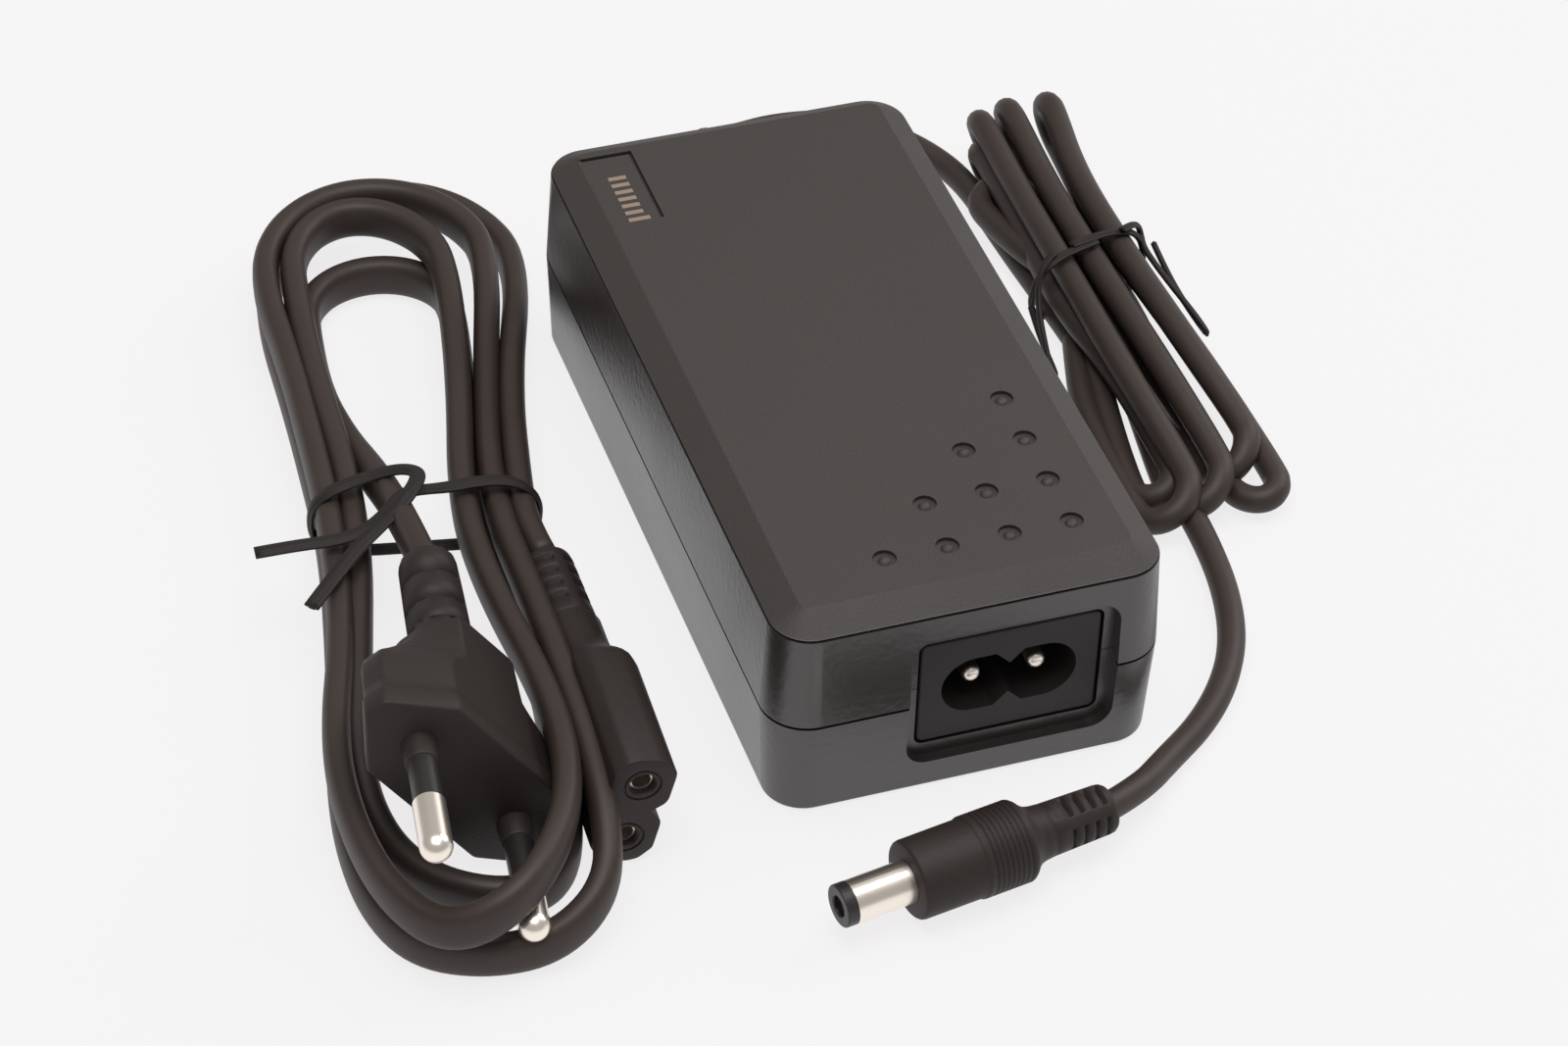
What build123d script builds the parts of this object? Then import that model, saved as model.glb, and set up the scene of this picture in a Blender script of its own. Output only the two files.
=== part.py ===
"""Laptop power adapter: mains brick, output lead with barrel plug, and the loose two-core mains lead.

Millimetres, +Z up. The origin is the bottom centre of the brick. The inlet end faces -Y.
"""
from build123d import *
import math
import os

os.makedirs("parts", exist_ok=True)

# Brick
WIDTH = 52.0
LENGTH = 104.0
HEIGHT = 30.5
PARTING_Z = 14.4
CORNER = 6.0
WALL = 2.2
BASE_INSET = 0.65
CHAMFER_Z = 28.3
SHOULDER_INSET = 0.7
SHOULDER_STEP = 0.15
TOP_INSET = 4.5
TOP_CORNER = 1.3
SHOULDER_GROOVE = 0.3
ROOF_INSET = 1.2
GROOVE = 0.4
GROOVE_DEPTH = 0.8
TONGUE_INSET = 1.3
TONGUE_HEIGHT = 1.2
POST_SPOTS = [(-18.5, -28.0), (18.5, -28.0), (-18.5, 42.0), (18.5, 42.0)]
POST_R = 2.0

# Mains inlet in the front end
INLET_X = 5.2
INLET_Z = 14.4
RECESS = (27.4, 20.4)
RECESS_DEPTH = 2.0
RECESS_CORNER = 3.0
PAD_DEPTH = 5.5
HOUSING = (23.7, 16.1)
HOUSING_GAP = 0.3
HOUSING_LENGTH = 16.0
SOCKET = (17.8, 8.6)
SOCKET_NECK = 4.8
NOTCH_WIDTH = 3.8
SOCKET_DEPTH = 13.0
PIN_PITCH = 8.6
INLET_PIN_D = 2.4
INLET_PIN_TIP = 1.3
INLET_PIN_END_Y = -30.0

# Sunk dimples in the top, in a right triangle, each with a low dome in its middle
DOT_PITCH = 8.15
DOT_R = 1.5
DOT_DEPTH = 0.5
DOT_DOME_R = 1.0
DOT_DOME_SINK = 0.55
DOT_FIRST = (-8.9, -41.7)
DOT_ROWS = 4

# Charge window at the rear left of the top
WINDOW_Y = (31.0, 46.3)
WINDOW_RIGHT_X = -14.2
WINDOW_DEPTH = 0.15
WINDOW_LINE = 0.5
WINDOW_LINE_DEPTH = 0.6
WINDOW_LINE_LEFT_X = -21.3
BAR_COUNT = 7
BAR = (2.5, 0.8)
FRONT_BAR_EXTRA = 0.5
BAR_GAP = 0.05
BAR_PITCH = 1.57
BAR_FIRST = (-17.7, 31.6)

# Circuit board
BOARD = (43.0, 80.0, 1.6)
BOARD_Y = 7.0
BOARD_Z = 5.0
BOARD_TOP = BOARD_Z + BOARD[2]

# Output lead
DC_CORD_D = 3.7
DC_EXIT_X = 4.0
DC_EXIT_R = 4.0
DC_GLAND_LENGTH = 10.0
DC_PLUG_TIP = (-24.65, -72.8, 5.35)
DC_PLUG_HEADING = 9.5
DC_BARREL_R = 2.75
DC_BARREL_SEAT_R = 2.5
DC_CORE_R = 2.1
DC_BARREL_LENGTH = 9.5
DC_BARREL_SEAT_END = 11.5
DC_TIP_RING = 1.5
DC_GRIP_R = 5.07
DC_RING_ZONE_R = 5.3
DC_RING_ZONE_START = 18.1
DC_RING_ZONE_END = 24.6
DC_RING_COUNT = 8
DC_RING_PITCH = 0.7
DC_RELIEF_START = 27.2
DC_RELIEF_R = (3.4, 3.15)
DC_PLUG_LENGTH = 37.5

# Two-core mains lead, its flat-pin plug and its figure-eight connector
MAINS_CORD = (3.6, 5.8)
EUROPLUG_FACE = (-63.96, -49.68, 15.1)
EUROPLUG_PIN_DIRECTION = (-0.1431, -0.9896, 0.0106)
EUROPLUG_WIDTH_DIRECTION = (0.5955, -0.0946, -0.7978)
EUROPLUG_HALF = (17.6, 10.3, 7.1, 1.5)
EUROPLUG_MIDDLE_HALF = (15.2, 8.2, 7.0, 1.5)
EUROPLUG_BACK_HALF = (7.8, 5.6, 6.6, 1.5)
EUROPLUG_MIDDLE = 13.0
EUROPLUG_RIM = 3.0
EUROPLUG_STEP = 0.3
EUROPLUG_BODY = 21.0
EUROPLUG_LENGTH = 42.5
EUROPLUG_NECK_START = 25.0
EUROPLUG_NECK_ROOT_R = 5.6
EUROPLUG_NECK_R = 4.0
EUROPLUG_NECK_CORE_R = 3.0
EUROPLUG_NECK_END_R = 3.4
EUROPLUG_GROOVES = (-33.5, -38.8)
EUROPLUG_PIN_PITCH = 18.6
EUROPLUG_PIN_R = 2.0
EUROPLUG_BOSS_R = 2.2
EUROPLUG_BOSS_LENGTH = 3.3
EUROPLUG_SLEEVE_R = 1.82
EUROPLUG_CORE_R = 1.4
EUROPLUG_PIN_LENGTH = 19.0
EUROPLUG_SLEEVE = 10.0
CONNECTOR_FACE = (-44.27, -53.6, 8.7)
CONNECTOR_DIRECTION = (-0.05, -1.0, 0.0)
CONNECTOR_WIDTH_DIRECTION = (0.25, -0.0125, 0.968)
CONNECTOR = (16.8, 8.2)
CONNECTOR_NECK = 4.6
CONNECTOR_BODY = 20.5
CONNECTOR_RELIEF = 29.0
CONNECTOR_LENGTH = 46.5

# Cord routes, where the leads are not coiled
DC_START_ROUTE = [(4.0, 62.0, 14.4), (4.0, 67.6, 13.3), (4.8, 72.3, 9.9), (7.3, 76.7, 6.0),
                  (12.0, 80.6, 3.1), (19.0, 83.0, 2.0), (27.0, 82.0, 1.9), (34.0, 77.4, 1.9),
                  (39.0, 70.2, 1.9), (41.6, 61.0, 2.3)]
DC_END_ROUTE = [(44.8, -12.5, 2.6), (44.9, -21.0, 1.9), (43.7, -30.5, 1.9), (41.0, -39.5, 1.9),
                (36.6, -47.0, 1.9), (30.8, -53.2, 1.9), (24.0, -58.2, 2.3), (18.2, -63.6, 4.2),
                (12.34, -66.61, 5.35)]
PLUG_ROUTE = [(-57.87, -7.61, 14.65), (-57.1, -2.3, 14.4), (-57.2, 3.2, 12.4), (-58.6, 9.8, 9.3)]
CONNECTOR_ROUTE = [(-41.95, -7.16, 8.7), (-41.5, -1.0, 8.6), (-40.5, 5.5, 8.1)]

# Coiled stretches, as the outer shape of each hank, and where their ties go round
DC_TIE_Y = 33.0
DC_HANK_TOP = 11.4
DC_HANK = [(39.6, 58.0), (42.5, 72.0), (58.5, 74.0), (58.0, 52.0), (55.8, 34.0), (60.5, 14.0),
           (62.6, -4.0), (59.5, -19.5), (40.0, -20.0), (36.9, 2.0), (39.3, 30.0)]
MAINS_TIE_Y = 5.0
MAINS_HANK_TOP = 13.0
MAINS_HANK = [(-25.4, 62.0), (-33.0, 84.5), (-59.0, 80.0), (-67.0, 55.0), (-66.5, 30.0), (-71.0, 0.0),
              (-78.5, -30.0), (-80.0, -55.0), (-68.0, -72.0), (-50.0, -70.0), (-47.0, -48.0),
              (-43.8, -14.0), (-37.6, 10.0), (-30.8, 34.0)]
MAINS_HANK_HOLE = [(-39.5, 58.0), (-46.0, 67.0), (-56.0, 62.0), (-58.0, 36.0), (-55.2, 8.0),
                   (-66.5, -20.0), (-70.5, -42.0), (-63.0, -54.0), (-53.5, -48.0), (-51.5, -20.0),
                   (-49.0, 8.0), (-43.0, 34.0)]


# ------------------------------------------------------------------ helpers
def finish(builder, name):
    """Label a finished piece and write its STEP file."""
    builder.part.label = name
    export_step(builder.part, f"parts/{name}.step")


def outline(z, inset, corner=None):
    """The brick's rounded outline at height z, drawn in by inset."""
    radius = CORNER - inset if corner is None else corner
    with BuildSketch(Plane.XY.offset(z)) as sketch:
        RectangleRounded(WIDTH - 2 * inset, LENGTH - 2 * inset, radius)
    return sketch.sketch


def ring(z, outer_inset, inner_inset):
    """A flat ring that follows the brick's outline between two insets."""
    return outline(z, outer_inset) - outline(z, inner_inset)


def front_plane(y):
    """A plane across the inlet at y, with x to the right and its normal out of the front."""
    return Plane(origin=(INLET_X, y, INLET_Z), x_dir=(1, 0, 0), z_dir=(0, -1, 0))


def rectangle_on(plane, size, corner):
    """A rounded rectangle centred on a plane."""
    with BuildSketch(plane) as sketch:
        RectangleRounded(size[0], size[1], corner)
    return sketch.sketch


def circle_on(plane, radius):
    """A disc centred on a plane."""
    with BuildSketch(plane) as sketch:
        Circle(radius)
    return sketch.sketch


def figure_eight(plane, size, neck):
    """A slot with a V notch in the middle of each long side."""
    with BuildSketch(plane) as sketch:
        SlotOverall(*size)
        for side in (1, -1):
            with BuildLine():
                Polyline((-NOTCH_WIDTH / 2, side * (size[1] / 2 + 0.01)), (0, side * neck / 2),
                         (NOTCH_WIDTH / 2, side * (size[1] / 2 + 0.01)), close=True)
            make_face(mode=Mode.SUBTRACT)
    return sketch.sketch


def octagon(plane, half):
    """The plug's outline: half width, half length of the flats, half thickness, half width of the tips."""
    point, flat, thick, tip = half
    with BuildSketch(plane) as sketch:
        Polygon((point, tip), (flat, thick), (-flat, thick), (-point, tip), (-point, -tip), (-flat, -thick),
                (flat, -thick), (point, -tip), align=None)
    return sketch.sketch


def block(centre, size, mode=Mode.ADD):
    """A box about a centre."""
    with Locations(centre):
        Box(*size, mode=mode)


def cylinder_y(centre, radius, length, mode=Mode.ADD):
    """A cylinder that lies along Y."""
    with Locations(Location(centre, (90, 0, 0))):
        Cylinder(radius, length, mode=mode)


def standing(spot, radius, height):
    """A cylinder that stands on the board."""
    with Locations((*spot, BOARD_TOP + height / 2)):
        Cylinder(radius, height)


def cord_tube(route, diameter):
    """A tube along straight runs joined by the largest tangent arcs that its runs allow."""
    points = [Vector(*point) for point in route]
    runs = [(b - a).length for a, b in zip(points, points[1:])]
    turns = [(b - a).get_angle(c - b) for a, b, c in zip(points, points[1:], points[2:])]
    radii = [0.45 * min(runs[i], runs[i + 1]) / math.tan(math.radians(turn / 2))
             for i, turn in enumerate(turns)]
    with BuildPart() as tube:
        with BuildLine() as path:
            FilletPolyline(*points, radius=radii)
        centreline = path.wire()
        with BuildSketch(Plane(centreline @ 0, z_dir=centreline % 0)):
            Circle(diameter / 2)
        sweep(path=centreline)
    expected = math.pi * diameter ** 2 / 4 * centreline.length
    print("  runs", [round(run, 1) for run in runs], "radii", [round(radius) for radius in radii])
    print("  length", round(centreline.length, 1), "volume ratio", round(tube.part.volume / expected, 4))
    return tube


def rounded_outline(points, radius):
    """A closed outline of straight runs with rounded corners."""
    with BuildSketch() as sketch:
        Polygon(*points, align=None)
        fillet(sketch.vertices(), radius)
    return sketch.sketch


# ------------------------------------------------------------------ shells
def inlet_pad(z_low, z_high):
    """The thick part of the front wall that frames the inlet."""
    size = (RECESS[0] + 4, PAD_DEPTH - 0.9, z_high - z_low)
    block((INLET_X, -LENGTH / 2 + 0.9 + size[1] / 2, (z_low + z_high) / 2), size)


def cut_ends():
    """Cut the inlet recess and window in front and the round hole for the output lead behind."""
    recess = rectangle_on(front_plane(-LENGTH / 2 + RECESS_DEPTH), RECESS, RECESS_CORNER)
    extrude(recess, amount=RECESS_DEPTH + 1, mode=Mode.SUBTRACT)
    window = (HOUSING[0] + 2 * HOUSING_GAP, HOUSING[1] + 2 * HOUSING_GAP)
    extrude(rectangle_on(front_plane(-LENGTH / 2 + PAD_DEPTH + 1), window, 1.3), amount=PAD_DEPTH + 1,
            mode=Mode.SUBTRACT)
    cylinder_y((DC_EXIT_X, LENGTH / 2, PARTING_Z), DC_EXIT_R, 14, Mode.SUBTRACT)


with BuildPart() as bottom_shell:
    loft(sections=[outline(0, BASE_INSET), outline(PARTING_Z, 0)])
    fillet(bottom_shell.faces().sort_by(Axis.Z)[0].edges(), 0.5)
    loft(sections=[outline(WALL, BASE_INSET + WALL), outline(PARTING_Z, WALL)], mode=Mode.SUBTRACT)
    inlet_pad(WALL - 0.5, PARTING_Z)
    for post_spot in POST_SPOTS:
        block((*post_spot, (WALL + BOARD_Z) / 2 - 0.2), (2 * POST_R, 2 * POST_R, BOARD_Z - WALL + 0.4))
    extrude(ring(PARTING_Z - GROOVE / 2, 0, GROOVE_DEPTH), amount=GROOVE, mode=Mode.SUBTRACT)
    extrude(ring(PARTING_Z - 1, TONGUE_INSET, WALL), amount=1 + TONGUE_HEIGHT)
    cut_ends()
finish(bottom_shell, "bottom_shell")


def cut_dots():
    """Sink ten round dimples in the top, each with a low dome in its middle."""
    for row in range(DOT_ROWS):
        for column in range(row, DOT_ROWS):
            spot = (DOT_FIRST[0] + column * DOT_PITCH, DOT_FIRST[1] + row * DOT_PITCH)
            with Locations((*spot, HEIGHT)):
                Cylinder(DOT_R, 2 * DOT_DEPTH, mode=Mode.SUBTRACT)
            with Locations((*spot, HEIGHT - DOT_DEPTH - DOT_DOME_SINK)):
                Sphere(DOT_DOME_R)


def window_floor(y):
    """Height of the charge window's sloping floor."""
    return HEIGHT - WINDOW_DEPTH * (y - WINDOW_Y[0]) / (WINDOW_Y[1] - WINDOW_Y[0])


def bar_span(bar):
    """Middle and length of a light bar: the front one is a little longer to the right."""
    extra = FRONT_BAR_EXTRA if bar == 0 else 0
    return BAR_FIRST[0] + extra / 2, BAR[0] + extra


def cut_window():
    """Cut the charge window: a faint ramp, the lines behind and beside it, and the slots for its bars."""
    left_x = -WIDTH / 2 - 1
    with BuildSketch(Plane(origin=(left_x, 0, 0), x_dir=(0, 1, 0), z_dir=(1, 0, 0))) as wedge:
        Polygon((WINDOW_Y[0], HEIGHT), (WINDOW_Y[1], HEIGHT - WINDOW_DEPTH), (WINDOW_Y[1], HEIGHT + 1),
                (WINDOW_Y[0], HEIGHT + 1), align=None)
    extrude(wedge.sketch, amount=WINDOW_RIGHT_X - left_x, mode=Mode.SUBTRACT)
    line_height = 2 * WINDOW_LINE_DEPTH
    side_line = (WINDOW_LINE, WINDOW_Y[1] - WINDOW_Y[0], line_height)
    block((WINDOW_RIGHT_X - WINDOW_LINE / 2, sum(WINDOW_Y) / 2, HEIGHT), side_line, Mode.SUBTRACT)
    rear_line = (WINDOW_RIGHT_X - WINDOW_LINE_LEFT_X, WINDOW_LINE, line_height)
    rear_centre = ((WINDOW_RIGHT_X + WINDOW_LINE_LEFT_X) / 2, WINDOW_Y[1] - WINDOW_LINE / 2, HEIGHT)
    block(rear_centre, rear_line, Mode.SUBTRACT)
    for bar in range(BAR_COUNT):
        bar_x, bar_length = bar_span(bar)
        block((bar_x, BAR_FIRST[1] + bar * BAR_PITCH, HEIGHT - 1),
              (bar_length + 2 * BAR_GAP, BAR[1] + 2 * BAR_GAP, 5), Mode.SUBTRACT)


with BuildPart() as top_shell:
    loft(sections=[outline(PARTING_Z, 0), outline(CHAMFER_Z, SHOULDER_INSET)])
    shoulder = outline(CHAMFER_Z, SHOULDER_INSET + SHOULDER_STEP)
    loft(sections=[shoulder, outline(HEIGHT, TOP_INSET, TOP_CORNER)])
    loft(sections=[outline(PARTING_Z, WALL), outline(CHAMFER_Z - 1, SHOULDER_INSET + WALL)],
         mode=Mode.SUBTRACT)
    cavity_roof = outline(HEIGHT - WALL, TOP_INSET + ROOF_INSET, ROOF_INSET)
    loft(sections=[outline(CHAMFER_Z - 1, SHOULDER_INSET + WALL), cavity_roof], mode=Mode.SUBTRACT)
    inlet_pad(PARTING_Z, INLET_Z + RECESS[1] / 2 + 2)
    extrude(ring(PARTING_Z, 0, GROOVE_DEPTH), amount=GROOVE / 2, mode=Mode.SUBTRACT)
    extrude(ring(PARTING_Z, TONGUE_INSET - 0.1, WALL + 0.1), amount=TONGUE_HEIGHT + 0.1, mode=Mode.SUBTRACT)
    shoulder_ring = ring(CHAMFER_Z - SHOULDER_GROOVE, 0, SHOULDER_INSET + SHOULDER_STEP + SHOULDER_GROOVE)
    extrude(shoulder_ring, amount=SHOULDER_GROOVE, mode=Mode.SUBTRACT)
    cut_ends()
    cut_dots()
    cut_window()
finish(top_shell, "top_shell")

with BuildPart() as light_pipe:
    pipe_length = BAR_COUNT * BAR_PITCH + 1
    block((BAR_FIRST[0], BAR_FIRST[1] + (BAR_COUNT - 1) * BAR_PITCH / 2, HEIGHT - WALL - 0.5),
          (BAR[0] + 1.5, pipe_length, 0.9))
    for bar in range(BAR_COUNT):
        bar_y = BAR_FIRST[1] + bar * BAR_PITCH
        bar_top = window_floor(bar_y) - 0.02
        bar_base = HEIGHT - WALL - 0.2
        bar_x, bar_length = bar_span(bar)
        block((bar_x, bar_y, (bar_top + bar_base) / 2), (bar_length, BAR[1], bar_top - bar_base))
finish(light_pipe, "light_pipe")

# ------------------------------------------------------------------ mains inlet
with BuildPart() as inlet_housing:
    extrude(rectangle_on(front_plane(-LENGTH / 2 + RECESS_DEPTH), HOUSING, 1.0), amount=-HOUSING_LENGTH)
    fillet(inlet_housing.faces().sort_by(Axis.Y)[0].edges(), 0.35)
    flange_y = -LENGTH / 2 + PAD_DEPTH + 0.1
    extrude(rectangle_on(front_plane(flange_y), (HOUSING[0] + 4, HOUSING[1] + 2), 1.0), amount=-2)
    extrude(figure_eight(front_plane(-LENGTH / 2), SOCKET, SOCKET_NECK),
            amount=-(RECESS_DEPTH + SOCKET_DEPTH), mode=Mode.SUBTRACT)
    for side in (-1, 1):
        cylinder_y((INLET_X + side * PIN_PITCH / 2, -35, INLET_Z), INLET_PIN_D / 2, 12, Mode.SUBTRACT)
finish(inlet_housing, "inlet_housing")

with BuildPart() as inlet_pins:
    tip_y = -LENGTH / 2 + RECESS_DEPTH + INLET_PIN_TIP
    for side in (-1, 1):
        pin_x = INLET_X + side * PIN_PITCH / 2
        pin_middle = (pin_x, (tip_y + INLET_PIN_END_Y) / 2, INLET_Z)
        cylinder_y(pin_middle, INLET_PIN_D / 2, INLET_PIN_END_Y - tip_y)
    fillet(inlet_pins.edges().filter_by(GeomType.CIRCLE).group_by(Axis.Y)[0], 0.9)
finish(inlet_pins, "inlet_pins")

with BuildPart() as inlet_wires:
    for side in (-1, 1):
        pin_x = INLET_X + side * PIN_PITCH / 2
        with BuildLine() as wire_path:
            FilletPolyline((pin_x, INLET_PIN_END_Y, INLET_Z), (pin_x, INLET_PIN_END_Y + 4, INLET_Z),
                           (pin_x, INLET_PIN_END_Y + 4, BOARD_TOP), radius=2.5)
        with BuildSketch(Plane(wire_path.line @ 0, z_dir=wire_path.line % 0)) as wire_section:
            Circle(0.8)
        sweep(sections=wire_section.sketch, path=wire_path.line)
finish(inlet_wires, "inlet_wires")

# ------------------------------------------------------------------ circuit board and components
with BuildPart() as circuit_board:
    block((0, BOARD_Y, BOARD_Z + BOARD[2] / 2), BOARD)
finish(circuit_board, "circuit_board")

with BuildPart() as insulation_sheet:
    block((0, BOARD_Y, WALL + 1.2), (BOARD[0] - 1, BOARD[1] - 1, 0.4))
    for post_spot in POST_SPOTS:
        block((*post_spot, WALL + 1.2), (2 * POST_R + 0.6, 2 * POST_R + 0.6, 2), Mode.SUBTRACT)
finish(insulation_sheet, "insulation_sheet")

with BuildPart() as fuse:
    cylinder_y((-17.0, -22.0, BOARD_TOP + 2.2), 2.1, 10)
finish(fuse, "fuse")

with BuildPart() as x_capacitor:
    block((-8.5, -22.0, BOARD_TOP + 5.5), (6.5, 13, 11))
    fillet(x_capacitor.edges().filter_by(Axis.Z), 0.6)
finish(x_capacitor, "x_capacitor")

CHOKE = (10.0, -15.5)
with BuildPart() as filter_choke_core:
    block((*CHOKE, BOARD_TOP + 7), (17, 6, 14))
    block((*CHOKE, BOARD_TOP + 7), (9, 7, 7), Mode.SUBTRACT)
finish(filter_choke_core, "filter_choke_core")

with BuildPart() as filter_choke_windings:
    for side in (-1, 1):
        limb = (CHOKE[0] + side * 6.5, CHOKE[1], BOARD_TOP + 7)
        block(limb, (6.4, 9, 6.4))
        block(limb, (4.04, 6.04, 8), Mode.SUBTRACT)
finish(filter_choke_windings, "filter_choke_windings")

with BuildPart() as bridge_rectifier:
    block((-12.0, -11.0, BOARD_TOP + 6.5), (14, 3.6, 10))
    for lead in range(4):
        block((-12.0 + (lead - 1.5) * 3.8, -11.0, BOARD_TOP + 0.9), (0.9, 0.6, 1.6))
finish(bridge_rectifier, "bridge_rectifier")

with BuildPart() as bulk_capacitor:
    cylinder_y((-11.0, 2.4, BOARD_TOP + 8.8), 8.6, 21.6)
    fillet(bulk_capacitor.edges().filter_by(GeomType.CIRCLE), 0.9)
finish(bulk_capacitor, "bulk_capacitor")

with BuildPart() as primary_heatsink:
    block((20.2, 5.0, BOARD_TOP + 9), (1.6, 26, 17.9))
    block((17.5, 5.0, BOARD_TOP + 17.2), (5.0, 26, 1.5))
finish(primary_heatsink, "primary_heatsink")

with BuildPart() as switching_transistor:
    block((17.1, 5.0, BOARD_TOP + 8.5), (4.4, 10, 9))
    block((18.8, 5.0, BOARD_TOP + 14.0), (1.1, 10, 4.5))
    for lead in range(3):
        block((17.1, 5.0 + (lead - 1) * 2.54, BOARD_TOP + 2.1), (0.5, 0.8, 4.2))
finish(switching_transistor, "switching_transistor")

CORE = (4.5, 22.0)
with BuildPart() as transformer_core:
    block((*CORE, BOARD_TOP + 9.5), (22, 7.5, 18))
    for side in (-1, 1):
        block((CORE[0] + side * 6.6, CORE[1], BOARD_TOP + 9.5), (5.2, 9, 12), Mode.SUBTRACT)
finish(transformer_core, "transformer_core")

with BuildPart() as transformer_winding:
    block((*CORE, BOARD_TOP + 9.5), (18, 17, 11.6))
    fillet(transformer_winding.edges().filter_by(Axis.Z), 3)
    block((*CORE, BOARD_TOP + 9.5), (8.2, 7.7, 14), Mode.SUBTRACT)
finish(transformer_winding, "transformer_winding")

with BuildPart() as controller_chip:
    block((6.0, 2.0, BOARD_TOP + 0.9), (5, 4, 1.5))
finish(controller_chip, "controller_chip")

with BuildPart() as optocoupler:
    block((6.0, 9.5, BOARD_TOP + 1.8), (4.6, 6.5, 3.5))
finish(optocoupler, "optocoupler")

with BuildPart() as y_capacitor:
    with Locations(Location((0.5, -4.0, BOARD_TOP + 5), (0, 90, 0))):
        Cylinder(4.0, 3.0)
    fillet(y_capacitor.edges().filter_by(GeomType.CIRCLE), 1.0)
finish(y_capacitor, "y_capacitor")

with BuildPart() as secondary_heatsink:
    block((-20.2, 30.0, BOARD_TOP + 8.5), (1.6, 20, 17))
finish(secondary_heatsink, "secondary_heatsink")

with BuildPart() as output_rectifier:
    block((-17.1, 28.0, BOARD_TOP + 8.5), (4.4, 10, 9))
    block((-18.8, 28.0, BOARD_TOP + 14.0), (1.1, 10, 4.5))
    for lead in range(3):
        block((-17.1, 28.0 + (lead - 1) * 2.54, BOARD_TOP + 2.1), (0.5, 0.8, 4.2))
finish(output_rectifier, "output_rectifier")

with BuildPart() as output_capacitors:
    for capacitor_x in (-9.0, 0.5):
        standing((capacitor_x, 36.4), 4.2, 15)
finish(output_capacitors, "output_capacitors")

with BuildPart() as output_choke:
    with Locations((13.9, 38.4, BOARD_TOP + 3.4)):
        Torus(5.0, 2.6)
finish(output_choke, "output_choke")

with BuildPart() as indicator_led:
    led_y = BAR_FIRST[1] + (BAR_COUNT - 1) * BAR_PITCH / 2 + 4.0
    with Locations((BAR_FIRST[0], led_y, HEIGHT - WALL - 1.2 - 1.8)):
        Cylinder(1.5, 3.4)
    for side in (-1, 1):
        leg_top = HEIGHT - WALL - 4.6
        leg_centre = (BAR_FIRST[0] + side * 0.8, led_y, (leg_top + BOARD_TOP) / 2)
        block(leg_centre, (0.5, 0.5, leg_top - BOARD_TOP))
finish(indicator_led, "indicator_led")

# ------------------------------------------------------------------ output lead
with BuildPart() as cable_gland:
    rear = LENGTH / 2
    cylinder_y((DC_EXIT_X, rear - 4.0, PARTING_Z), DC_EXIT_R - 0.05, 8)
    cylinder_y((DC_EXIT_X, rear - 7.0, PARTING_Z), DC_EXIT_R + 1.4, 2)
    cylinder_y((DC_EXIT_X, rear + 0.6, PARTING_Z), DC_EXIT_R + 0.4, 1.2)
    boot = Plane(origin=(DC_EXIT_X, rear + 1.0, PARTING_Z), z_dir=(0, 1, 0))
    loft(sections=[circle_on(boot, 3.6), circle_on(boot.offset(DC_GLAND_LENGTH - 1), 2.5)])
    for groove in range(4):
        groove_y = rear + 2.6 + groove * 2.0
        for side in (-1, 1):
            block((DC_EXIT_X + side * 3.6, groove_y, PARTING_Z), (3.2, 0.8, 10), Mode.SUBTRACT)
finish(cable_gland, "cable_gland")

with BuildPart() as output_wires:
    for side in (-1, 1):
        wire_x = DC_EXIT_X + side * 1.4
        with BuildLine() as wire_path:
            FilletPolyline((wire_x, LENGTH / 2 - 8, PARTING_Z), (wire_x, LENGTH / 2 - 11, PARTING_Z),
                           (wire_x, LENGTH / 2 - 10.5, BOARD_TOP + 0.5), radius=1.2)
        with BuildSketch(Plane(wire_path.line @ 0, z_dir=wire_path.line % 0)) as wire_section:
            Circle(0.7)
        sweep(sections=wire_section.sketch, path=wire_path.line)
finish(output_wires, "output_wires")

print("dc_lead_start")
dc_lead_start = cord_tube(DC_START_ROUTE, DC_CORD_D)
finish(dc_lead_start, "dc_lead_start")
print("dc_lead_end")
dc_lead_end = cord_tube(DC_END_ROUTE, DC_CORD_D)
finish(dc_lead_end, "dc_lead_end")

with BuildPart() as dc_hank:
    extrude(rounded_outline(DC_HANK, 4.0), amount=DC_HANK_TOP)
    fillet(dc_hank.faces().sort_by(Axis.Z)[-1].edges(), 1.2)
finish(dc_hank, "dc_hank")

with BuildPart() as dc_tie:
    tie_plane = Plane(origin=(47.8, DC_TIE_Y + 0.9, 6.3), x_dir=(1, 0, 0), z_dir=(0, -1, 0))
    extrude(rectangle_on(tie_plane, (19.0, 12.4), 4.5), amount=1.8)
    extrude(rectangle_on(tie_plane, (17.6, 11.0), 3.8), amount=1.8, mode=Mode.SUBTRACT)
    block((57.6, DC_TIE_Y - 7.0, 6.0), (1.0, 17.0, 1.8))
finish(dc_tie, "dc_tie")

# Barrel plug, built back from its tip along its own axis
heading = math.radians(DC_PLUG_HEADING)
DC_PLUG = Plane(origin=DC_PLUG_TIP, x_dir=(0, 0, 1), z_dir=(math.cos(heading), math.sin(heading), 0))


def plug_length(radius, start, end, mode=Mode.ADD):
    """A cylinder on the barrel plug's axis between two distances from the tip."""
    extrude(circle_on(DC_PLUG.offset(start), radius), amount=end - start, mode=mode)


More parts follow.
